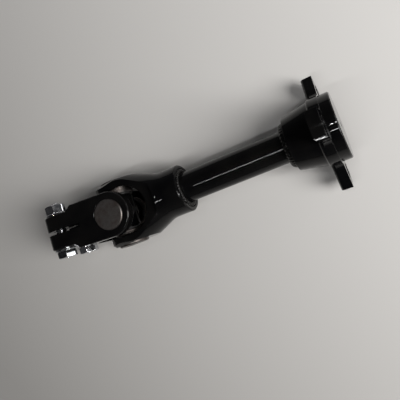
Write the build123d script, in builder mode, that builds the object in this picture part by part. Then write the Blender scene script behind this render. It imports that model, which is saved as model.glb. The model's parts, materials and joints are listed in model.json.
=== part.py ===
from build123d import *
from math import asin, cos, degrees, pi, radians, sin, tan
import os

# Universal joint shaft: clamp yoke, cross in needle bearings, fork yoke, welded tube, three-lug flange.
# Frame: origin at the centre of the face that the three lugs bolt up with, +Z up, +X from joint to flange.
# It stands as it comes to rest: on the two lower lugs and flat on the clamp yoke. Millimetres and degrees.

# Bearings and cross
cup_diameter = 22.0
cup_mouth_gap = 2.4
cup_wall = 1.46
cup_floor = 1.9
cup_rim_chamfer = 0.6
needle_diameter = 3.0
needle_inset = 0.5
needle_end_gap = 1.0
needle_count = 12
running_clearance = 0.02
seat_clearance = 0.02
thrust_pad_margin = 2.0
thrust_pad_thickness = 0.8
seal_height = 1.1
seal_setback = 0.8
journal_shoulder_step = 1.7
cross_body_setback = 3.9
grease_bore_diameter = 4.0

# Both yokes
clamp_span = 47.6
fork_ear_setback = 0.9
throat_gap = 0.9
throat_centre = 9.0
cup_stand_out = 0.4
fork_ear_wall = 4.2
fork_ear_bevel = 1.8
clamp_ear_wall = 4.9
clamp_edge_round = 1.4
ear_bore_chamfer = 0.5
casting_round = 1.0
throat_edge_round = 1.6

# Fork yoke
fork_reach = 52.8
barrel_length = 16.3
barrel_rim_wall = 2.7
flare_start_rise = 0.8
flare_rise = 4.7
flare_start_wall = 6.9
flare_wall = 10.8
flare_centre = 10.0
flare_crown_radius = 25.0
flare_neck_radius = 20.0
fork_flat_margin = 0.1
flat_cutter_radius = 25.3
barrel_socket_depth = 15.0
barrel_rim_chamfer = 0.8
weld_recess_clearance = 0.2
weld_recess_depth = 2.6

# Tube
tube_diameter = 21.3
tube_wall = 2.9
socket_clearance = 0.05
socket_end_gap = 1.0

# Flange
hub_face = 130.8
hub_length = 17.9
hub_nose_wall = 3.0
hub_root_diameter = 43.2
hub_socket_depth = 16.0
flange_thickness = 7.7
lug_count = 3
lug_bolt_circle = 63.0
lug_hole_diameter = 10.5
lug_end_wall = 3.75
lug_side_wall = 3.9
lug_valley_radius = 7.0
lug_corner_round = 2.6
web_diameter = 45.0
web_chamfer = 0.8
spigot_diameter = 43.9
spigot_height = 7.1
spigot_chamfer = 0.7
lathe_centre_diameter = 5.0
lathe_centre_angle = 60.0

# Clamp yoke
clamp_yaw = 2.7
clamp_reach = 55.5
clamp_shoulder_slope = 4.5
clamp_width_at_shoulder = 31.6
bolt_seat_width = 24.9
clamp_end_round = 8.0
seat_wall_radius = 3.5
seat_wall_gap = 0.1
clamp_bore_diameter = 16.0
slit_width = 2.6
slit_end = 24.0

# Cross bolts
bolt_diameter = 10.0
thread_depth = 0.8
plain_shank_length = 12.0
bolt_hole_clearance = 0.25
bolt_setback = 8.4
bolt_bore_wall = 0.95
head_across_flats = 16.0
head_height = 6.4
nut_height = 8.4
hex_corner_angle = 30.0
hex_face_share = 0.95
nut_thread_clearance = 0.05
bolt_end_stand_out = 0.6
washer_diameter = 20.0
washer_thickness = 2.0

# Welds
fork_weld_leg = 3.4
flange_weld_leg = 4.0
weld_fullness = 0.62

# Turn of each bolt's head and nut about its own axis, as tightened
upper_hex_turn = -16.0
lower_hex_turn = 25.0

# Sizes that follow from the ones above: bearings and cross
clamp_ear_face = clamp_span / 2
fork_ear_face = clamp_ear_face - fork_ear_setback
cup_end = clamp_ear_face + cup_stand_out
cup_mouth = cup_diameter / 2 + cup_mouth_gap
cup_length = cup_end - cup_mouth
needle_race = cup_diameter / 2 - cup_wall
needle_length = cup_length - cup_floor - needle_inset - needle_end_gap
trunnion_radius = needle_race - needle_diameter - 2 * running_clearance
trunnion_end = cup_end - cup_floor - thrust_pad_thickness
seal_seat = cup_mouth - seal_height - 2 * seat_clearance
cross_body_radius = cup_mouth - cross_body_setback

# Both yokes: the throat takes the other yoke's ear, and the ears close round the cups
clamp_ear_radius = cup_diameter / 2 + clamp_ear_wall
fork_ear_radius = cup_diameter / 2 + fork_ear_wall
throat_radius = clamp_ear_radius + throat_gap

# Fork yoke: the flare stands clear of the ears' faces and of the throat's corners, and the bevel and the
# throat's rounding take no more than a third of the ear's thickness each
flare_start_radius = max(fork_ear_face + flare_start_rise, throat_radius + flare_start_wall)
flare_radius = max(fork_ear_face + flare_rise, throat_radius + flare_wall)
fork_ear_thickness = fork_ear_face - throat_radius
ear_bevel = min(fork_ear_bevel, fork_ear_thickness / 3)
throat_round = min(throat_edge_round, fork_ear_thickness / 3)
fork_flat = fork_ear_radius + fork_flat_margin
weld_recess_radius = tube_diameter / 2 + socket_clearance + fork_weld_leg + weld_recess_clearance
barrel_radius = weld_recess_radius + barrel_rim_wall
flare_end = fork_reach - barrel_length

# Flange
flange_back_face = hub_face + hub_length
flange_front_face = flange_back_face + flange_thickness
spigot_face = flange_front_face + spigot_height
hub_nose_radius = tube_diameter / 2 + socket_clearance + flange_weld_leg + hub_nose_wall
lug_width = lug_hole_diameter + 2 * lug_side_wall
lug_tip_radius = (lug_bolt_circle + lug_hole_diameter) / 2 + lug_end_wall
lug_half_angle = asin(lug_width / 2 / lug_tip_radius)
lug_drop = lug_tip_radius * cos(pi / lug_count - lug_half_angle)
shaft_rise = degrees(asin((lug_drop - cup_end) / flange_back_face))

# Clamp yoke and cross bolts
bolt_along = clamp_reach - bolt_setback
clamp_seat_start = bolt_along - washer_diameter / 2 - seat_wall_radius - seat_wall_gap
clamp_shoulder = clamp_seat_start - clamp_shoulder_slope
bolt_height = clamp_bore_diameter / 2 + bolt_diameter / 2 + bolt_hole_clearance + bolt_bore_wall
thread_core_radius = bolt_diameter / 2 - thread_depth
outside = 2 * lug_tip_radius

# Frames: the shaft's runs up to the flange, the clamp yoke's is level and looks back from the joint
rise = radians(shaft_rise)
yaw = radians(clamp_yaw)
joint_centre = Vector(-flange_front_face * cos(rise), 0, -flange_front_face * sin(rise))
shaft = Plane(origin=joint_centre, x_dir=(cos(rise), 0, sin(rise)), z_dir=(-sin(rise), 0, cos(rise)))
clamp = Plane(origin=joint_centre, x_dir=(-cos(yaw), sin(yaw), 0), z_dir=(0, 0, 1))
cross_frame = Plane(origin=joint_centre, x_dir=(1, 0, 0), z_dir=(0, 0, 1))
shaft_axis = Axis(joint_centre, shaft.x_dir)

os.makedirs("parts", exist_ok=True)


def within(frame, plane):
    """A plane given in a body's own frame, placed in the part's frame."""
    return Plane(frame * plane)


def station(frame, along, across=0.0, height=0.0):
    """A plane square to a body's long axis, at a point of its own frame."""
    return within(frame, Plane(origin=(along, across, height), x_dir=(0, 1, 0), z_dir=(1, 0, 0)))


def save(block, name):
    """Label a finished piece and write it under its name."""
    block.part.label = name
    export_step(block.part, f"parts/{name}.step")


# Planes whose z runs out along each trunnion: the fork's pair lies across, the clamp yoke's pair stands up
trunnions = {
    "fork_left": within(cross_frame, Plane(origin=(0, 0, 0), x_dir=(1, 0, 0), z_dir=(0, 1, 0))),
    "fork_right": within(cross_frame, Plane(origin=(0, 0, 0), x_dir=(1, 0, 0), z_dir=(0, -1, 0))),
    "clamp_upper": within(cross_frame, Plane(origin=(0, 0, 0), x_dir=(1, 0, 0), z_dir=(0, 0, 1))),
    "clamp_lower": within(cross_frame, Plane(origin=(0, 0, 0), x_dir=(1, 0, 0), z_dir=(0, 0, -1))),
}


def bearing_pieces(place, plane):
    """The cup, its needle rollers, the seal on the journal and the thrust pad of one trunnion."""
    with BuildPart(plane.offset(cup_mouth)) as cup:
        Cylinder(cup_diameter / 2, cup_length, align=(Align.CENTER, Align.CENTER, Align.MIN))
        outer_rims = cup.edges().filter_by(GeomType.CIRCLE)
        chamfer(outer_rims, cup_rim_chamfer)
        race_depth = cup_length - cup_floor
        Cylinder(needle_race, race_depth, align=(Align.CENTER, Align.CENTER, Align.MIN), mode=Mode.SUBTRACT)
    save(cup, f"bearing_cup_{place}")

    pitch_radius = trunnion_radius + needle_diameter / 2 + running_clearance
    with BuildPart(plane.offset(cup_mouth + needle_inset)) as needles:
        with PolarLocations(pitch_radius, needle_count):
            Cylinder(needle_diameter / 2, needle_length, align=(Align.CENTER, Align.CENTER, Align.MIN))
    save(needles, f"needle_rollers_{place}")

    with BuildPart(plane.offset(cup_mouth - seal_height - seat_clearance)) as seal:
        seal_radius = cup_diameter / 2 - seal_setback
        Cylinder(seal_radius, seal_height, align=(Align.CENTER, Align.CENTER, Align.MIN))
        journal = trunnion_radius + seat_clearance
        Cylinder(journal, seal_height, align=(Align.CENTER, Align.CENTER, Align.MIN), mode=Mode.SUBTRACT)
        fillet(seal.edges().filter_by(GeomType.CIRCLE).group_by(SortBy.RADIUS)[-1], 0.3 * seal_height)
    save(seal, f"seal_{place}")

    with BuildPart(plane.offset(trunnion_end + running_clearance)) as pad:
        thickness = thrust_pad_thickness - 2 * running_clearance
        pad_radius = trunnion_radius - thrust_pad_margin
        Cylinder(pad_radius, thickness, align=(Align.CENTER, Align.CENTER, Align.MIN))
    save(pad, f"thrust_pad_{place}")


for place, plane in trunnions.items():
    bearing_pieces(place, plane)

# Cross: round body, four stepped trunnions, grease bores along both axes
cross_axes = (trunnions["fork_left"], trunnions["clamp_upper"])
with BuildPart() as spider:
    for plane in cross_axes:
        with BuildSketch(plane):
            Circle(cross_body_radius)
        extrude(amount=seal_seat - seal_height, both=True)
    fillet(spider.edges().filter_by(GeomType.CIRCLE), casting_round)
    for plane in cross_axes:
        with BuildSketch(plane):
            Circle(trunnion_radius + journal_shoulder_step)
        extrude(amount=seal_seat, both=True)
        with BuildSketch(plane):
            Circle(trunnion_radius)
        extrude(amount=trunnion_end, both=True)
    for plane in cross_axes:
        with BuildSketch(plane):
            Circle(grease_bore_diameter / 2)
        extrude(amount=trunnion_end, both=True, mode=Mode.SUBTRACT)
save(spider, "cross_spider")

# Fork yoke: turned flare and barrel, flat ears, deep round throat
with BuildPart() as fork_yoke:
    with BuildSketch(within(shaft, Plane.XY)):
        with BuildLine():
            FilletPolyline(
                (-fork_ear_radius, flare_start_radius),
                (flare_centre, flare_radius),
                (flare_end, barrel_radius),
                (fork_reach, barrel_radius),
                radius=(flare_crown_radius, flare_neck_radius),
            )
            Polyline(
                (fork_reach, barrel_radius),
                (fork_reach, 0),
                (-fork_ear_radius, 0),
                (-fork_ear_radius, flare_start_radius),
            )
        make_face()
    revolve(axis=shaft_axis)
    # Near and far flats, milled up to the cutter's round end
    for side in (1, -1):
        with BuildSketch(within(shaft, Plane.XY.offset(side * fork_flat))):
            with Locations((throat_centre, 0)):
                Circle(flat_cutter_radius)
            with Locations((throat_centre - outside / 2, 0)):
                Rectangle(outside, 2 * flat_cutter_radius)
        extrude(amount=side * outside, mode=Mode.SUBTRACT)
    # Flat outer faces and round tips of the ears
    with BuildSketch(station(shaft, -outside)):
        Rectangle(2 * fork_ear_face, 2 * outside)
    extrude(amount=3 * outside, mode=Mode.INTERSECT)
    with BuildSketch(within(shaft, Plane.XZ)):
        with Locations((-outside / 2, 0)):
            Rectangle(outside, 2 * outside)
        Circle(fork_ear_radius, mode=Mode.SUBTRACT)
    extrude(amount=outside, both=True, mode=Mode.SUBTRACT)
    # Bevelled outer rim of each ear's tip
    for side in (1, -1):
        with BuildSketch(within(shaft, Plane.XY)) as rim:
            with BuildLine():
                Polyline(
                    (-fork_ear_radius - ear_bevel, side * (fork_ear_face - 2 * ear_bevel)),
                    (-fork_ear_radius + ear_bevel, side * fork_ear_face),
                    (-fork_ear_radius - ear_bevel, side * fork_ear_face),
                    close=True,
                )
            make_face()
        for swing in (shaft.y_dir, -shaft.y_dir):
            revolve(rim.sketch, axis=Axis(joint_centre, swing), revolution_arc=90, mode=Mode.SUBTRACT)
    # Throat between the ears
    with BuildSketch(within(shaft, Plane.XY)):
        with Locations((throat_centre, 0)):
            Circle(throat_radius)
        with Locations((throat_centre - outside / 2, 0)):
            Rectangle(outside, 2 * throat_radius)
    extrude(amount=outside, both=True, mode=Mode.SUBTRACT)
    throat_edges = fork_yoke.edges().filter_by(lambda edge: edge.geom_type == GeomType.CIRCLE
                                               and abs(edge.radius - throat_radius) < seat_clearance)
    fillet(throat_edges, throat_round)
    # Bores for the bearing cups, with a small chamfer outside
    for place in ("fork_left", "fork_right"):
        with BuildSketch(trunnions[place].offset(cup_mouth)):
            Circle(cup_diameter / 2 + seat_clearance)
        extrude(amount=outside, mode=Mode.SUBTRACT)
        with BuildSketch(trunnions[place].offset(fork_ear_face)):
            Circle(cup_diameter / 2 + seat_clearance + ear_bore_chamfer)
        extrude(amount=-ear_bore_chamfer, taper=45, mode=Mode.SUBTRACT)
    # Socket for the tube, with the recess that takes the weld
    with BuildSketch(station(shaft, fork_reach)):
        Circle(tube_diameter / 2 + socket_clearance)
    extrude(amount=-barrel_socket_depth, mode=Mode.SUBTRACT)
    chamfer(fork_yoke.faces().sort_by(shaft_axis)[-1].outer_wire().edges(), barrel_rim_chamfer)
    with BuildSketch(station(shaft, fork_reach)):
        Circle(weld_recess_radius)
    extrude(amount=-weld_recess_depth, mode=Mode.SUBTRACT)
save(fork_yoke, "fork_yoke")

# Shaft tube, its plain ends inside both sockets
tube_start = fork_reach - barrel_socket_depth + socket_end_gap
tube_end = hub_face + hub_socket_depth - socket_end_gap
with BuildPart() as shaft_tube:
    with BuildSketch(station(shaft, tube_start)):
        Circle(tube_diameter / 2)
        Circle(tube_diameter / 2 - tube_wall, mode=Mode.SUBTRACT)
    extrude(amount=tube_end - tube_start)
save(shaft_tube, "shaft_tube")


def weld_ring(name, foot, leg):
    """A fillet bead round the tube on a face square to the shaft; a negative leg looks back to the joint."""
    bead_inner = tube_diameter / 2 + socket_clearance
    with BuildPart() as bead:
        with BuildSketch(within(shaft, Plane.XY)):
            with BuildLine():
                Polyline((foot, bead_inner + abs(leg)), (foot, bead_inner), (foot + leg, bead_inner))
                ThreePointArc(
                    (foot + leg, bead_inner),
                    (foot + weld_fullness * leg, bead_inner + weld_fullness * abs(leg)),
                    (foot, bead_inner + abs(leg)),
                )
            make_face()
        revolve(axis=shaft_axis)
    save(bead, name)


weld_ring("weld_fork_end", fork_reach - weld_recess_depth, fork_weld_leg)
weld_ring("weld_flange_end", hub_face, -flange_weld_leg)

# Flange: three lugs with turned tips, conical hub, web and spigot
with BuildPart() as flange:
    for number in range(lug_count):
        turn = radians(number * 360 / lug_count)
        lug_foot = Plane(origin=(flange_back_face, 0, 0), x_dir=(1, 0, 0), z_dir=(0, sin(turn), cos(turn)))
        with BuildSketch(within(shaft, lug_foot)) as lug_section:
            Rectangle(flange_thickness, lug_width, align=(Align.MIN, Align.CENTER))
            fillet(lug_section.vertices().sort_by(Axis.X)[:2], lug_corner_round)
        extrude(amount=outside)
    with BuildSketch(station(shaft, flange_back_face)):
        Circle(lug_tip_radius)
    extrude(amount=flange_thickness, mode=Mode.INTERSECT)
    # Web between the lugs, with a round valley on each side of a lug
    with BuildSketch(station(shaft, flange_front_face)) as web_outline:
        Circle(web_diameter / 2)
        for number in range(lug_count):
            with Locations(Location((0, 0), 90 + number * 360 / lug_count)):
                Rectangle(web_diameter / 2 + lug_valley_radius, lug_width, align=(Align.MIN, Align.CENTER))
        corners = web_outline.vertices().filter_by(
            lambda corner: abs(Vector(corner).length - web_diameter / 2) < seat_clearance
        )
        fillet(corners, lug_valley_radius)
    extrude(amount=lug_corner_round - flange_thickness)
    with BuildSketch(within(shaft, Plane.XY)):
        with BuildLine():
            Polyline(
                (hub_face, 0),
                (hub_face, hub_nose_radius),
                (flange_back_face, hub_root_diameter / 2),
                (flange_back_face + web_chamfer, web_diameter / 2),
                (flange_front_face, web_diameter / 2),
                (flange_front_face, spigot_diameter / 2),
                (spigot_face - spigot_chamfer, spigot_diameter / 2),
                (spigot_face, spigot_diameter / 2 - spigot_chamfer),
                (spigot_face, 0),
                close=True,
            )
        make_face()
    revolve(axis=shaft_axis)
    # Socket for the tube, bolt holes in the lugs, lathe centre in the spigot
    with BuildSketch(station(shaft, hub_face)):
        Circle(tube_diameter / 2 + socket_clearance)
    extrude(amount=hub_socket_depth, mode=Mode.SUBTRACT)
    with BuildSketch(station(shaft, flange_front_face)):
        with PolarLocations(lug_bolt_circle / 2, lug_count, start_angle=90):
            Circle(lug_hole_diameter / 2)
    extrude(amount=-flange_thickness, mode=Mode.SUBTRACT)
    with BuildSketch(station(shaft, spigot_face)):
        Circle(lathe_centre_diameter / 2)
    centre_depth = 0.8 * lathe_centre_diameter / 2 / tan(radians(lathe_centre_angle / 2))
    extrude(amount=-centre_depth, taper=lathe_centre_angle / 2, mode=Mode.SUBTRACT)
save(flange, "coupling_flange")

# Clamp yoke: slab with round ears, throat, slit hub with flat bolt seats
seat_half = bolt_seat_width / 2
with BuildPart() as clamp_yoke:
    with BuildSketch(clamp) as side_outline:
        with BuildLine():
            Polyline(
                (0, 0),
                (0, clamp_ear_radius),
                (clamp_shoulder, clamp_width_at_shoulder / 2),
                (clamp_seat_start, seat_half),
                (clamp_reach, seat_half),
                (clamp_reach, 0),
                close=True,
            )
        make_face()
        seat_corner = side_outline.vertices().sort_by_distance((clamp_seat_start, seat_half))[0]
        fillet(seat_corner, seat_wall_radius)
        mirror(about=Plane.XZ)
        Circle(clamp_ear_radius)
    extrude(amount=clamp_ear_face, both=True)
    end_corners = clamp_yoke.edges().filter_by(Axis(clamp.origin, clamp.y_dir))
    fillet(end_corners.group_by(Axis(clamp.origin, clamp.x_dir))[-1], clamp_end_round)
    plate_faces = clamp_yoke.faces().filter_by(Axis.Z)
    side_edges = plate_faces.edges() - plate_faces.edges().filter_by(Axis(clamp.origin, clamp.y_dir))
    fillet(side_edges, clamp_edge_round)
    with BuildSketch(within(clamp, Plane.XZ)):
        with Locations((throat_centre, 0)):
            Circle(throat_radius)
        with Locations((throat_centre - outside / 2, 0)):
            Rectangle(outside, 2 * throat_radius)
    extrude(amount=outside, both=True, mode=Mode.SUBTRACT)
    for place in ("clamp_upper", "clamp_lower"):
        with BuildSketch(trunnions[place].offset(cup_mouth)):
            Circle(cup_diameter / 2 + seat_clearance)
        extrude(amount=outside, mode=Mode.SUBTRACT)
        with BuildSketch(trunnions[place].offset(clamp_ear_face)):
            Circle(cup_diameter / 2 + seat_clearance + ear_bore_chamfer)
        extrude(amount=-ear_bore_chamfer, taper=45, mode=Mode.SUBTRACT)
    with BuildSketch(station(clamp, clamp_reach)):
        Circle(clamp_bore_diameter / 2)
        Rectangle(slit_width, outside)
    extrude(amount=slit_end - clamp_reach, mode=Mode.SUBTRACT)
    for height in (bolt_height, -bolt_height):
        with BuildSketch(within(clamp, Plane(origin=(bolt_along, 0, height), z_dir=(0, 1, 0)))):
            Circle(bolt_diameter / 2 + bolt_hole_clearance)
        extrude(amount=outside, both=True, mode=Mode.SUBTRACT)
save(clamp_yoke, "clamp_yoke")


def hexagon_piece(name, seat, height, turn, shank_length=0.0, thread_hole=0.0):
    """A bolt or nut: a hexagon on its seat, the outer corners cut to a cone, with a shank or a hole."""
    outer_radius = hex_face_share * head_across_flats / 2
    cone_radius = outer_radius + height / tan(radians(hex_corner_angle))
    with BuildPart() as piece:
        with BuildSketch(seat):
            RegularPolygon(head_across_flats / 2, 6, major_radius=False, rotation=turn)
        extrude(amount=height)
        with Locations(seat):
            Cone(
                cone_radius,
                outer_radius,
                height,
                align=(Align.CENTER, Align.CENTER, Align.MIN),
                mode=Mode.INTERSECT,
            )
        if shank_length > 0:
            with BuildSketch(seat):
                Circle(bolt_diameter / 2)
            extrude(amount=-plain_shank_length)
            with BuildSketch(seat):
                Circle(thread_core_radius)
            extrude(amount=-shank_length)
        if thread_hole > 0:
            with BuildSketch(seat):
                Circle(thread_hole / 2)
            extrude(amount=height, mode=Mode.SUBTRACT)
    save(piece, name)


def washer_piece(name, seat):
    """A plain washer that lies on its seat."""
    with BuildPart() as washer:
        with BuildSketch(seat):
            Circle(washer_diameter / 2)
            Circle(bolt_diameter / 2 + bolt_hole_clearance, mode=Mode.SUBTRACT)
        extrude(amount=washer_thickness)
    save(washer, name)


# Cross bolts: one above the bore and one below it, heads on one side and nuts on the other
grip = bolt_seat_width + 2 * washer_thickness + nut_height + bolt_end_stand_out
bolt_rows = {"upper": (bolt_height, upper_hex_turn), "lower": (-bolt_height, lower_hex_turn)}
for row, (height, turn) in bolt_rows.items():
    head_place = Plane(origin=(bolt_along, seat_half, height), x_dir=(1, 0, 0), z_dir=(0, 1, 0))
    nut_place = Plane(origin=(bolt_along, -seat_half, height), x_dir=(1, 0, 0), z_dir=(0, -1, 0))
    head_seat = within(clamp, head_place)
    nut_seat = within(clamp, nut_place)
    washer_piece(f"washer_{row}_head", head_seat)
    washer_piece(f"washer_{row}_nut", nut_seat)
    head_plane = head_seat.offset(washer_thickness)
    nut_plane = nut_seat.offset(washer_thickness)
    hexagon_piece(f"pinch_bolt_{row}", head_plane, head_height, turn, shank_length=grip)
    thread_hole = bolt_diameter + 2 * nut_thread_clearance
    hexagon_piece(f"pinch_nut_{row}", nut_plane, nut_height, turn, thread_hole=thread_hole)
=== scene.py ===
import json
from math import cos, pi, radians, sin, tan

import bmesh
import bpy
from mathutils import Euler, Matrix, Vector


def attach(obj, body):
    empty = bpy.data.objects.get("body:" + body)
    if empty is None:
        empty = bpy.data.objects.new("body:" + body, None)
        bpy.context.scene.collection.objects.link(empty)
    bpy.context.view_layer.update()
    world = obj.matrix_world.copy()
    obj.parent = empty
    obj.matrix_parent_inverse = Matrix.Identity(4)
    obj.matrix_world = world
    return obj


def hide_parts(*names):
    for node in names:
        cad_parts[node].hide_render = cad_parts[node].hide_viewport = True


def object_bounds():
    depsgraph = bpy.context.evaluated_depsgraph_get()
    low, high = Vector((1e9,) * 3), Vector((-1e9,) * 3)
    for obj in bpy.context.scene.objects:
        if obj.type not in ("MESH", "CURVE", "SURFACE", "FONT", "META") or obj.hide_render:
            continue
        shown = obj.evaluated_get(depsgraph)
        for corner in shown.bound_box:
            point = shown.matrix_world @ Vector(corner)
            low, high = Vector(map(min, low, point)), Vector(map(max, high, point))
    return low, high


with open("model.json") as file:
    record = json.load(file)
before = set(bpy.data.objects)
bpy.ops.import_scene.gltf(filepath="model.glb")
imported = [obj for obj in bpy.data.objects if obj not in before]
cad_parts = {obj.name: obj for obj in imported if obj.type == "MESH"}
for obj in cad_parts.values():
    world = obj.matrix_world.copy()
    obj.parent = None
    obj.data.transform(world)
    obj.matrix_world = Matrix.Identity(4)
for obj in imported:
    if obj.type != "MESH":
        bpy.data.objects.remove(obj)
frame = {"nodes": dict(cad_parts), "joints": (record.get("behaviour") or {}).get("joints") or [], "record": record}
cad_low, cad_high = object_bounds()

MM = 0.001

# Where the joint's centre lies and how the shaft and the clamp yoke run from it
joint_centre = Vector(frame["joints"][0]["pos_m"])
mount_axes = {mount["name"]: Vector(mount["axis"]) for mount in frame["record"]["mounts"]}
shaft_run = mount_axes["flange_bolts"]
clamp_run = mount_axes["clamp_bore"]

# Where the welds lie along the shaft and how far their legs reach, as in the solid model
tube_radius = 10.65 * MM
fork_weld_foot = 50.2 * MM
fork_weld_leg = 3.4 * MM
flange_weld_foot = 130.8 * MM
flange_weld_leg = 4.0 * MM

# Shares of a weld's leg: the bead's own radius, and its middle's distance from the tube and from the foot
bead_share = 0.62
bead_rise_share = 0.42
bead_foot_share = 0.36
ripple_height = 0.30 * MM
ripple_lean = 1.6


# Building blocks for materials

class Recipe:
    """A material under construction: its node tree, its surface shader and short ways to add nodes."""

    def __init__(self, name):
        self.material = bpy.data.materials.new(name)
        self.material.use_nodes = True
        self.tree = self.material.node_tree
        self.surface = self.tree.nodes["Principled BSDF"]

    def add(self, kind, **settings):
        node = self.tree.nodes.new(kind)
        for key, value in settings.items():
            setattr(node, key, value)
        return node

    def join(self, source, target):
        self.tree.links.new(source, target)

    def set(self, **values):
        for key, value in values.items():
            self.surface.inputs[key.replace("_", " ")].default_value = value

    def place(self, centre=(0.0, 0.0, 0.0), turn=(0.0, 0.0, 0.0), stretch=(1.0, 1.0, 1.0)):
        """Object coordinates, centred on a point of the part, turned and stretched."""
        coordinates = self.add("ShaderNodeTexCoord")
        shifted = self.add("ShaderNodeVectorMath", operation="SUBTRACT")
        shifted.inputs[1].default_value = centre
        self.join(coordinates.outputs["Object"], shifted.inputs[0])
        mapped = self.add("ShaderNodeMapping")
        mapped.inputs["Rotation"].default_value = turn
        mapped.inputs["Scale"].default_value = stretch
        self.join(shifted.outputs["Vector"], mapped.inputs["Vector"])
        return mapped.outputs["Vector"]

    def noise(self, where, scale, detail=3.0, roughness=0.5):
        node = self.add("ShaderNodeTexNoise")
        node.inputs["Scale"].default_value = scale
        node.inputs["Detail"].default_value = detail
        node.inputs["Roughness"].default_value = roughness
        self.join(where, node.inputs["Vector"])
        return node.outputs["Fac"]

    def spread(self, value, low, high, start=0.35, end=0.65):
        node = self.add("ShaderNodeMapRange")
        node.inputs["From Min"].default_value = start
        node.inputs["From Max"].default_value = end
        node.inputs["To Min"].default_value = low
        node.inputs["To Max"].default_value = high
        self.join(value, node.inputs["Value"])
        return node.outputs["Result"]

    def calculate(self, operation, first, second):
        node = self.add("ShaderNodeMath", operation=operation)
        for socket, value in zip(node.inputs, (first, second)):
            if isinstance(value, (int, float)):
                socket.default_value = value
            else:
                self.join(value, socket)
        return node.outputs["Value"]

    def blend_colours(self, share, first, second):
        node = self.add("ShaderNodeMix", data_type="RGBA")
        self.join(share, node.inputs[0])
        for socket, value in zip((node.inputs[6], node.inputs[7]), (first, second)):
            if isinstance(value, tuple):
                socket.default_value = (*value, 1.0)
            else:
                self.join(value, socket)
        return node.outputs[2]

    def relief(self, height, depth, under=None):
        node = self.add("ShaderNodeBump")
        node.inputs["Distance"].default_value = depth
        node.inputs["Strength"].default_value = 1.0
        self.join(height, node.inputs["Height"])
        if under is not None:
            self.join(under, node.inputs["Normal"])
        return node.outputs["Normal"]

    def soft_edges(self, radius):
        node = self.add("ShaderNodeBevel", samples=6)
        node.inputs["Radius"].default_value = radius
        return node.outputs["Normal"]


def gloss_black_paint(name, peel_depth=0.00002):
    """Black stove enamel: deep gloss, a faint orange peel, thin dust and fine scuffs."""
    paint = Recipe(name)
    where = paint.place()
    peel = paint.noise(where, 420.0, 2.0)
    waves = paint.noise(where, 90.0, 2.0)
    dust = paint.noise(where, 1500.0, 4.0, 0.7)
    clouds = paint.noise(where, 55.0, 4.0)
    clean, worn = (0.0020, 0.0020, 0.0023), (0.0045, 0.0043, 0.0042)
    colour = paint.blend_colours(paint.spread(clouds, 0.0, 1.0), clean, worn)
    dusty = paint.blend_colours(paint.spread(dust, 0.0, 0.4, 0.68, 0.82), colour, (0.04, 0.038, 0.036))
    paint.join(dusty, paint.surface.inputs["Base Color"])
    scuffed = paint.spread(clouds, 0.02, 0.06)
    paint.join(scuffed, paint.surface.inputs["Roughness"])
    rounded = paint.soft_edges(0.0006)
    rolled = paint.relief(waves, 3 * peel_depth, rounded)
    paint.join(paint.relief(peel, peel_depth, rolled), paint.surface.inputs["Normal"])
    paint.set(Specular_IOR_Level=0.22)
    return paint.material


def painted_bead(name):
    """The same enamel over a rough weld: uneven gloss, small spatter."""
    bead = Recipe(name)
    where = bead.place()
    spatter = bead.noise(where, 1300.0, 3.0, 0.65)
    clouds = bead.noise(where, 300.0, 3.0)
    colour = bead.blend_colours(bead.spread(clouds, 0.0, 1.0), (0.002, 0.002, 0.002), (0.007, 0.0065, 0.006))
    bead.join(colour, bead.surface.inputs["Base Color"])
    bead.join(bead.spread(clouds, 0.06, 0.16), bead.surface.inputs["Roughness"])
    bead.join(bead.relief(spatter, 0.0001), bead.surface.inputs["Normal"])
    bead.set(Specular_IOR_Level=0.22)
    return bead.material


def drawn_cup_steel(name, axis):
    """Bare drawn steel of a bearing cup, dulled brown-grey, with faint turning rings about its axis."""
    steel = Recipe(name)
    flat = (1.0, 1.0, 0.0) if axis == "Z" else (1.0, 0.0, 1.0)
    centred = steel.place(centre=joint_centre, stretch=flat)
    where = steel.place()
    distance = steel.add("ShaderNodeVectorMath", operation="LENGTH")
    steel.join(centred, distance.inputs[0])
    rings = steel.calculate("SINE", steel.calculate("MULTIPLY", distance.outputs["Value"], 17000.0), 0.0)
    stain = steel.noise(where, 170.0, 5.0, 0.62)
    fine = steel.noise(where, 2600.0, 3.0)
    stained, bare = (0.080, 0.066, 0.060), (0.170, 0.159, 0.152)
    colour = steel.blend_colours(steel.spread(stain, 0.0, 1.0, 0.36, 0.64), stained, bare)
    steel.join(colour, steel.surface.inputs["Base Color"])
    steel.join(steel.spread(stain, 0.52, 0.38), steel.surface.inputs["Roughness"])
    steel.set(Metallic=1.0)
    grained = steel.relief(fine, 0.000012, steel.soft_edges(0.0003))
    steel.join(steel.relief(rings, 0.0000025, grained), steel.surface.inputs["Normal"])
    return steel.material


def ground_steel(name):
    """Ground bearing steel with a thin film of grease."""
    steel = Recipe(name)
    where = steel.place()
    film = steel.noise(where, 320.0, 4.0)
    colour = steel.blend_colours(steel.spread(film, 0.0, 1.0), (0.50, 0.48, 0.44), (0.66, 0.65, 0.63))
    steel.join(colour, steel.surface.inputs["Base Color"])
    steel.join(steel.spread(film, 0.16, 0.34), steel.surface.inputs["Roughness"])
    steel.set(Metallic=1.0)
    steel.join(steel.relief(steel.noise(where, 2200.0, 2.0), 0.000008), steel.surface.inputs["Normal"])
    return steel.material


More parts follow.
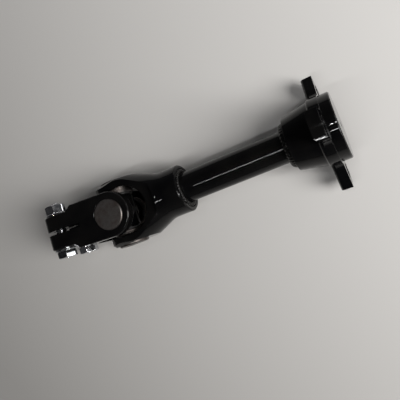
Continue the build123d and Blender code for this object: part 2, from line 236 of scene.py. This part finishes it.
def zinc_plate(name):
    """Bright zinc on forged and turned steel: cool, slightly cloudy, softly rounded edges."""
    zinc = Recipe(name)
    where = zinc.place()
    clouds = zinc.noise(where, 380.0, 4.0, 0.6)
    grain = zinc.noise(where, 1200.0, 3.0)
    colour = zinc.blend_colours(zinc.spread(clouds, 0.0, 1.0), (0.56, 0.57, 0.59), (0.76, 0.77, 0.79))
    zinc.join(colour, zinc.surface.inputs["Base Color"])
    zinc.join(zinc.spread(clouds, 0.06, 0.15), zinc.surface.inputs["Roughness"])
    zinc.set(Metallic=1.0)
    zinc.join(zinc.relief(grain, 0.000006, zinc.soft_edges(0.0003)), zinc.surface.inputs["Normal"])
    return zinc.material


def seal_rubber(name):
    """Matte black rubber with a slight bloom."""
    rubber = Recipe(name)
    where = rubber.place()
    bloom = rubber.noise(where, 700.0, 4.0)
    black, bloomed = (0.012, 0.012, 0.012), (0.035, 0.034, 0.033)
    colour = rubber.blend_colours(rubber.spread(bloom, 0.0, 1.0), black, bloomed)
    rubber.join(colour, rubber.surface.inputs["Base Color"])
    rubber.join(rubber.spread(bloom, 0.55, 0.75), rubber.surface.inputs["Roughness"])
    rubber.join(rubber.relief(bloom, 0.00002), rubber.surface.inputs["Normal"])
    return rubber.material


def pad_plastic(name):
    """Cream moulded plastic of the thrust pads."""
    plastic = Recipe(name)
    where = plastic.place()
    grain = plastic.noise(where, 900.0, 3.0)
    colour = plastic.blend_colours(plastic.spread(grain, 0.0, 1.0), (0.52, 0.48, 0.38), (0.62, 0.58, 0.47))
    plastic.join(colour, plastic.surface.inputs["Base Color"])
    plastic.join(plastic.spread(grain, 0.40, 0.55), plastic.surface.inputs["Roughness"])
    plastic.join(plastic.relief(grain, 0.00001), plastic.surface.inputs["Normal"])
    return plastic.material


enamel = gloss_black_paint("gloss_black_enamel")
bead_enamel = painted_bead("enamel_over_weld")
upright_cup = drawn_cup_steel("cup_steel_upright", "Z")
cross_cup = drawn_cup_steel("cup_steel_across", "Y")
journal = ground_steel("ground_journal_steel")
zinc = zinc_plate("bright_zinc")
rubber = seal_rubber("seal_rubber")
pad = pad_plastic("thrust_pad_plastic")


def finish_for(node):
    """The finish that a node of the solid model gets."""
    if node.startswith("bearing_cup_clamp"):
        return upright_cup
    if node.startswith("bearing_cup_fork"):
        return cross_cup
    if node.startswith("needle_rollers"):
        return journal
    if node.startswith(("pinch_", "washer_")):
        return zinc
    if node.startswith("seal_"):
        return rubber
    if node.startswith("thrust_pad"):
        return pad
    return enamel


for node_name, node_object in frame["nodes"].items():
    node_object.data.materials.clear()
    node_object.data.materials.append(finish_for(node_name))


# Weld beads: a ring swept round the tube with crescent ripples

def grow(tree, kind, **settings):
    """A new node of a kind, with its settings."""
    node = tree.nodes.new(kind)
    for key, value in settings.items():
        setattr(node, key, value)
    return node


def open_tree(name, inputs):
    """A new tree with named inputs: the tree itself, its way to join sockets, its start and its end."""
    tree = bpy.data.node_groups.new(name, "GeometryNodeTree")
    tree.interface.new_socket("Geometry", in_out="INPUT", socket_type="NodeSocketGeometry")
    for label, (kind, value) in inputs.items():
        socket = tree.interface.new_socket(label, in_out="INPUT", socket_type=kind)
        if value is not None:
            socket.default_value = value
    tree.interface.new_socket("Geometry", in_out="OUTPUT", socket_type="NodeSocketGeometry")
    return tree, tree.links.new, grow(tree, "NodeGroupInput"), grow(tree, "NodeGroupOutput")


def reckon(tree, operation, first, second=None):
    """One step of arithmetic in a tree, on numbers or on other nodes' results."""
    node = grow(tree, "ShaderNodeMath", operation=operation)
    for socket, value in zip(node.inputs, (first, second)):
        if isinstance(value, (int, float)):
            socket.default_value = value
        elif value is not None:
            tree.links.new(value, socket)
    return node.outputs[0]


def rippled_ring_tree():
    """Sweeps a convex bead section round a ring and lifts crescent ripples on it."""
    tree, join, start, end = open_tree("rippled_ring", {
        "Ring Radius": ("NodeSocketFloat", 0.0127),
        "Bead Radius": ("NodeSocketFloat", 0.0020),
        "Ripples": ("NodeSocketFloat", 44.0),
        "Ripple Height": ("NodeSocketFloat", 0.00025),
        "Lean": ("NodeSocketFloat", 5.0),
        "Seed": ("NodeSocketInt", 3),
        "Finish": ("NodeSocketMaterial", None),
    })

    ring = grow(tree, "GeometryNodeCurvePrimitiveCircle")
    ring.inputs["Resolution"].default_value = 420
    join(start.outputs["Ring Radius"], ring.inputs["Radius"])
    section = grow(tree, "GeometryNodeCurvePrimitiveCircle")
    section.inputs["Resolution"].default_value = 20
    join(start.outputs["Bead Radius"], section.inputs["Radius"])

    along = grow(tree, "GeometryNodeSplineParameter")
    keep_along = grow(tree, "GeometryNodeCaptureAttribute", domain="POINT")
    keep_along.capture_items.new("FLOAT", "along")
    join(ring.outputs["Curve"], keep_along.inputs["Geometry"])
    join(along.outputs["Factor"], keep_along.inputs["along"])
    around = grow(tree, "GeometryNodeSplineParameter")
    keep_around = grow(tree, "GeometryNodeCaptureAttribute", domain="POINT")
    keep_around.capture_items.new("FLOAT", "around")
    join(section.outputs["Curve"], keep_around.inputs["Geometry"])
    join(around.outputs["Factor"], keep_around.inputs["around"])

    sweep = grow(tree, "GeometryNodeCurveToMesh")
    join(keep_along.outputs["Geometry"], sweep.inputs["Curve"])
    join(keep_around.outputs["Geometry"], sweep.inputs["Profile Curve"])

    def work(operation, first, second=None):
        return reckon(tree, operation, first, second)

    turn = work("MULTIPLY", keep_around.outputs["around"], 2 * pi)
    crescent = work("MULTIPLY", work("COSINE", turn), start.outputs["Lean"])
    phase = work("MULTIPLY", work("MULTIPLY", keep_along.outputs["along"], start.outputs["Ripples"]), 2 * pi)
    wander = grow(tree, "ShaderNodeTexNoise", noise_dimensions="4D")
    wander.inputs["Scale"].default_value = 260.0
    join(start.outputs["Seed"], wander.inputs["W"])
    shifted = work("ADD", work("ADD", phase, crescent), work("MULTIPLY", wander.outputs["Fac"], 4.0))
    ripple = work("ABSOLUTE", work("SINE", work("MULTIPLY", shifted, 0.5)))
    uneven = work("ADD", ripple, work("MULTIPLY", wander.outputs["Fac"], 0.9))
    lift = work("MULTIPLY", work("SUBTRACT", uneven, 1.0), start.outputs["Ripple Height"])
    normal = grow(tree, "GeometryNodeInputNormal")
    push = grow(tree, "ShaderNodeVectorMath", operation="SCALE")
    join(normal.outputs["Normal"], push.inputs[0])
    join(lift, push.inputs["Scale"])
    rippled = grow(tree, "GeometryNodeSetPosition")
    join(sweep.outputs["Mesh"], rippled.inputs["Geometry"])
    join(push.outputs["Vector"], rippled.inputs["Offset"])
    smooth = grow(tree, "GeometryNodeSetShadeSmooth")
    join(rippled.outputs["Geometry"], smooth.inputs["Geometry"])
    plain = grow(tree, "GeometryNodeRealizeInstances")
    join(smooth.outputs["Geometry"], plain.inputs["Geometry"])
    coat = grow(tree, "GeometryNodeSetMaterial")
    join(plain.outputs["Geometry"], coat.inputs["Geometry"])
    join(start.outputs["Finish"], coat.inputs["Material"])
    join(coat.outputs["Geometry"], end.inputs["Geometry"])
    return tree


def grown_mesh(name, tree, values, placing):
    """Runs a node tree on an empty mesh and keeps the result as a plain piece in its place."""
    seedbed = bpy.data.objects.new(name + "_seedbed", bpy.data.meshes.new(name + "_seedbed"))
    bpy.context.scene.collection.objects.link(seedbed)
    modifier = seedbed.modifiers.new("grow", "NODES")
    modifier.node_group = tree
    sockets = {item.name: item.identifier for item in tree.interface.items_tree if item.in_out == "INPUT"}
    for label, value in values.items():
        modifier[sockets[label]] = value
    evaluated = seedbed.evaluated_get(bpy.context.evaluated_depsgraph_get())
    mesh = bpy.data.meshes.new_from_object(evaluated)
    mesh.name = name
    seedbed.modifiers.remove(modifier)
    bpy.data.objects.remove(seedbed)
    mesh.transform(placing)
    piece = bpy.data.objects.new(name, mesh)
    bpy.context.scene.collection.objects.link(piece)
    return piece


def shaft_station(along):
    """Placing with its Z along the shaft, at a distance from the joint's centre."""
    across = Vector((0.0, 1.0, 0.0))
    upward = shaft_run.cross(across)
    turned = Matrix((across, upward, shaft_run)).transposed().to_4x4()
    return Matrix.Translation(joint_centre + shaft_run * along) @ turned


ring_tree = rippled_ring_tree()


def weld_bead(name, foot, leg, ripples, seed):
    """One bead: its round section sits in the corner of the tube and the face behind it."""
    reach = abs(leg)
    sign = 1.0 if leg > 0 else -1.0
    values = {
        "Ring Radius": tube_radius + bead_rise_share * reach,
        "Bead Radius": bead_share * reach,
        "Ripples": float(ripples),
        "Ripple Height": ripple_height,
        "Lean": ripple_lean * sign,
        "Seed": seed,
        "Finish": bead_enamel,
    }
    piece = grown_mesh(name, ring_tree, values, shaft_station(foot + sign * bead_foot_share * reach))
    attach(piece, "shaft")
    return piece


fork_bead = weld_bead("fork_weld_ripples", fork_weld_foot, fork_weld_leg, 40, 3)
flange_bead = weld_bead("flange_weld_ripples", flange_weld_foot, -flange_weld_leg, 36, 8)
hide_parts("weld_fork_end")
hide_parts("weld_flange_end")


# Cross bolts, nuts and washers as the photograph shows them, with rolled threads

clamp_across = Vector((0.0, 0.0, 1.0)).cross(clamp_run)
bolt_along = 47.1 * MM
bolt_level = 14.2 * MM
seat_reach = 12.45 * MM
bore_clearance = 0.1 * MM
thread_run = 13.0 * MM
hex_rim_share = 0.95
corner_cone = radians(30.0)
under_cone = 0.4
washer_edge = 0.25 * MM
hex_flats = 13.0 * MM
head_height = 5.3 * MM
nut_height = 6.6 * MM
washer_radius = 8.2 * MM
washer_thickness = 1.5 * MM
thread_crest = 4.0 * MM
thread_depth = 0.65 * MM
thread_pitch = 1.25 * MM
bolt_end = 1.0 * MM


def bolt_place(level, side, lift):
    """Placing with its Z along a cross bolt, away from the clamp yoke, at a height over the bolt seat."""
    outward = clamp_across * side
    turned = Matrix((clamp_run, outward.cross(clamp_run), outward)).transposed().to_4x4()
    seat = joint_centre + clamp_run * bolt_along + Vector((0.0, 0.0, level)) + outward * (seat_reach + lift)
    return Matrix.Translation(seat) @ turned


def spun_mesh(name, rings, placing, turns=96):
    """A closed skin through rings of points round an axis; each ring gives radius and height at an angle."""
    form = bmesh.new()
    rows = []
    for ring in rings:
        row = []
        for step in range(turns):
            angle = 2 * pi * step / turns
            radius, height = ring(angle)
            row.append(form.verts.new((radius * cos(angle), radius * sin(angle), height)))
        rows.append(row)
    for low, high in zip(rows, rows[1:] + rows[:1]):
        for step in range(turns):
            after = (step + 1) % turns
            form.faces.new((low[step], low[after], high[after], high[step]))
    bmesh.ops.recalc_face_normals(form, faces=form.faces)
    mesh = bpy.data.meshes.new(name)
    form.to_mesh(mesh)
    form.free()
    mesh.transform(placing)
    mesh.shade_smooth()
    mesh.set_sharp_from_angle(angle=radians(24.0))
    return mesh


def hexagon_rings(height, turn, hole):
    """Rings of a hexagon whose outer corners are cut to a cone of 30 degrees, round a hole or a shank."""
    half = hex_flats / 2
    rim = hex_rim_share * half

    def flat(angle):
        return half / cos((angle - turn) % (pi / 3) - pi / 6)

    def cut(angle):
        return height - (flat(angle) - rim) * tan(corner_cone)

    return [
        lambda angle: (hole, 0.0),
        lambda angle: (rim, 0.0),
        lambda angle: (flat(angle), (flat(angle) - rim) * under_cone),
        lambda angle: (flat(angle), cut(angle)),
        lambda angle: (rim, height),
        lambda angle: (hole, height),
    ]


def washer_rings(hole):
    """Rings of a flat washer with its outer top edge cut."""
    return [
        lambda angle: (hole, 0.0),
        lambda angle: (washer_radius, 0.0),
        lambda angle: (washer_radius, washer_thickness - washer_edge),
        lambda angle: (washer_radius - washer_edge, washer_thickness),
        lambda angle: (hole, washer_thickness),
    ]


def rolled_thread_tree():
    """A bolt shank: a plain round bar with a thread rolled round its far part."""
    tree, join, start, end = open_tree("rolled_thread", {
        "Crest Radius": ("NodeSocketFloat", 0.004),
        "Thread Depth": ("NodeSocketFloat", 0.00065),
        "Pitch": ("NodeSocketFloat", 0.00125),
        "Length": ("NodeSocketFloat", 0.035),
        "Thread End": ("NodeSocketFloat", 0.01),
        "Finish": ("NodeSocketMaterial", None),
    })

    def work(operation, first, second=None):
        return reckon(tree, operation, first, second)

    bar = grow(tree, "GeometryNodeMeshCylinder")
    bar.inputs["Vertices"].default_value = 40
    bar.inputs["Side Segments"].default_value = 260
    join(start.outputs["Crest Radius"], bar.inputs["Radius"])
    join(start.outputs["Length"], bar.inputs["Depth"])
    where = grow(tree, "GeometryNodeInputPosition")
    split = grow(tree, "ShaderNodeSeparateXYZ")
    join(where.outputs["Position"], split.inputs["Vector"])
    turn = work("DIVIDE", work("ARCTAN2", split.outputs["Y"], split.outputs["X"]), 2 * pi)
    climb = work("ADD", work("DIVIDE", split.outputs["Z"], start.outputs["Pitch"]), turn)
    groove = work("PINGPONG", climb, 0.5)
    cut = work("MULTIPLY", work("MULTIPLY", groove, 2.0), start.outputs["Thread Depth"])
    rolled = work("LESS_THAN", split.outputs["Z"], start.outputs["Thread End"])
    sunk = work("MULTIPLY", work("MULTIPLY", cut, rolled), -1.0)
    flat = grow(tree, "ShaderNodeCombineXYZ")
    join(split.outputs["X"], flat.inputs["X"])
    join(split.outputs["Y"], flat.inputs["Y"])
    outward = grow(tree, "ShaderNodeVectorMath", operation="NORMALIZE")
    join(flat.outputs["Vector"], outward.inputs[0])
    push = grow(tree, "ShaderNodeVectorMath", operation="SCALE")
    join(outward.outputs["Vector"], push.inputs[0])
    join(sunk, push.inputs["Scale"])
    threaded = grow(tree, "GeometryNodeSetPosition")
    join(bar.outputs["Mesh"], threaded.inputs["Geometry"])
    join(push.outputs["Vector"], threaded.inputs["Offset"])
    plain = grow(tree, "GeometryNodeRealizeInstances")
    join(threaded.outputs["Geometry"], plain.inputs["Geometry"])
    coat = grow(tree, "GeometryNodeSetMaterial")
    join(plain.outputs["Geometry"], coat.inputs["Geometry"])
    join(start.outputs["Finish"], coat.inputs["Material"])
    join(coat.outputs["Geometry"], end.inputs["Geometry"])
    return tree


thread_tree = rolled_thread_tree()


def fastener(name, mesh, node):
    """A zinc-plated piece of the clamp that stands for a node of the solid model."""
    mesh.materials.clear()
    mesh.materials.append(zinc)
    piece = bpy.data.objects.new(name, mesh)
    bpy.context.scene.collection.objects.link(piece)
    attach(piece, "clamp")
    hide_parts(node)


def cross_bolt(row, level, head_turn, nut_turn):
    """A bolt with its threaded shank, its nut and the washer under each."""
    bore = thread_crest + bore_clearance
    for label, side in (("head", 1.0), ("nut", -1.0)):
        mesh = spun_mesh("flat_washer", washer_rings(bore), bolt_place(level, side, 0.0))
        fastener(f"flat_washer_{row}_{label}", mesh, f"washer_{row}_{label}")
    nut_place = bolt_place(level, -1.0, washer_thickness)
    nut = spun_mesh("hex_nut", hexagon_rings(nut_height, nut_turn, bore), nut_place)
    fastener(f"hex_nut_{row}", nut, f"pinch_nut_{row}")

    core = thread_crest - 2 * thread_depth
    head_place = bolt_place(level, 1.0, washer_thickness)
    head = spun_mesh("hex_head", hexagon_rings(head_height, head_turn, core), head_place)
    length = 2 * (seat_reach + washer_thickness) + nut_height + bolt_end + head_height / 2
    values = {
        "Crest Radius": thread_crest,
        "Thread Depth": thread_depth,
        "Pitch": thread_pitch,
        "Length": length,
        "Thread End": length / 2 - thread_run,
        "Finish": zinc,
    }
    middle_lift = washer_thickness + head_height / 2 - length / 2
    shank = grown_mesh(f"shank_{row}", thread_tree, values, bolt_place(level, 1.0, middle_lift))
    whole = bmesh.new()
    whole.from_mesh(head)
    whole.from_mesh(shank.data)
    mesh = bpy.data.meshes.new(f"threaded_bolt_{row}")
    whole.to_mesh(mesh)
    whole.free()
    bpy.data.objects.remove(shank)
    fastener(f"threaded_bolt_{row}", mesh, f"pinch_bolt_{row}")


cross_bolt("upper", bolt_level, radians(61.5), radians(51.4))
cross_bolt("lower", -bolt_level, radians(14.0), radians(20.0))


# Table and light

table_height = cad_low[2]


def table_finish():
    table = Recipe("table_laminate")
    where = table.place()
    split = table.add("ShaderNodeSeparateXYZ")
    table.join(where, split.inputs["Vector"])
    # Painted light falloff and shade: the colour darkens from the window's side toward the lower left, standing in
    # for how the lamps light the table.
    run = table.calculate("ADD", split.outputs["X"], table.calculate("MULTIPLY", split.outputs["Y"], 0.75))
    painted_light_falloff = table.spread(run, 0.0, 1.0, -0.40, 0.10)
    grain = table.noise(where, 900.0, 3.0)
    colour = table.blend_colours(painted_light_falloff, (0.355, 0.345, 0.332), (0.72, 0.705, 0.685))
    table.join(colour, table.surface.inputs["Base Color"])
    table.set(Roughness=0.7)
    table.join(table.relief(grain, 0.00001), table.surface.inputs["Normal"])
    return table.material


def table_top():
    """A wide round table top: rings of faces round its middle."""
    radii = (0.6, 1.6, 3.0)
    turns = 96
    points = [(0.0, 0.0, table_height)]
    faces = []
    for radius in radii:
        for step in range(turns):
            angle = 2 * pi * step / turns
            points.append((radius * cos(angle), radius * sin(angle), table_height))
    for step in range(turns):
        after = (step + 1) % turns
        faces.append((0, 1 + step, 1 + after))
        for row in range(len(radii) - 1):
            low = 1 + row * turns
            high = low + turns
            faces.append((low + step, high + step, high + after, low + after))
    mesh = bpy.data.meshes.new("table_top")
    mesh.from_pydata(points, [], faces)
    mesh.shade_smooth()
    mesh.materials.append(table_finish())
    stage = bpy.data.objects.new("table_top", mesh)
    bpy.context.scene.collection.objects.link(stage)


table_top()


def lamp(name, place, aim, power, width, depth=None, colour=(1.0, 1.0, 1.0)):
    """A square or oblong lamp at a place, turned to the point that it lights."""
    light = bpy.data.lights.new(name, "AREA")
    light.energy = power
    light.color = colour
    light.size = width
    if depth is not None:
        light.shape = "RECTANGLE"
        light.size_y = depth
    holder = bpy.data.objects.new(name, light)
    holder.location = place
    holder.rotation_euler = (Vector(aim) - Vector(place)).to_track_quat("-Z", "Y").to_euler()
    bpy.context.scene.collection.objects.link(holder)


# A wide window to the flange's side, the pale wall by it, a long thin lamp overhead and a small one above
middle = (-0.06, 0.0, 0.0)
lamp("window", (0.80, -0.38, 0.80), middle, 17.5, 0.45, 0.85, (1.0, 0.99, 0.975))
lamp("bright_wall", (1.50, 0.05, 0.25), middle, 4.4, 1.1, 0.44)
lamp("lamp_near", (-0.18, -0.18, 0.64), (-0.18, 0.0, 0.0), 0.65, 0.34, 0.006)
lamp("lamp_ceiling", (-0.10, 0.13, 1.50), middle, 0.9, 0.025)


def dim_room():
    """The room round the table: low grey walls and a dark ceiling."""
    room = bpy.data.worlds.new("dim_room")
    room.use_nodes = True
    tree = room.node_tree
    sky = tree.nodes["Background"]
    direction = tree.nodes.new("ShaderNodeTexCoord")
    split = tree.nodes.new("ShaderNodeSeparateXYZ")
    fade = tree.nodes.new("ShaderNodeMapRange")
    fade.inputs["From Min"].default_value = 0.05
    fade.inputs["From Max"].default_value = 0.75
    tint = tree.nodes.new("ShaderNodeMix")
    tint.data_type = "RGBA"
    tint.inputs[6].default_value = (0.09, 0.09, 0.092, 1.0)
    tint.inputs[7].default_value = (0.012, 0.012, 0.013, 1.0)
    tree.links.new(direction.outputs["Generated"], split.inputs["Vector"])
    tree.links.new(split.outputs["Z"], fade.inputs["Value"])
    tree.links.new(fade.outputs["Result"], tint.inputs[0])
    tree.links.new(tint.outputs[2], sky.inputs["Color"])
    bpy.context.scene.world = room


dim_room()
bpy.context.scene.view_settings.view_transform = "Standard"

# Camera: above the part and a little to the flange's side, turned as the photograph was taken
camera_place = Vector((0.0132, -0.0421, 0.3136))
camera_turn = Euler((radians(-1.812), radians(19.861), radians(-20.728)))
camera_data = bpy.data.cameras.new("photo_camera")
camera_data.sensor_width = 36.0
camera_data.lens = 43.783
camera = bpy.data.objects.new("photo_camera", camera_data)
camera.location = camera_place
camera.rotation_euler = camera_turn
bpy.context.scene.collection.objects.link(camera)
bpy.context.scene.camera = camera
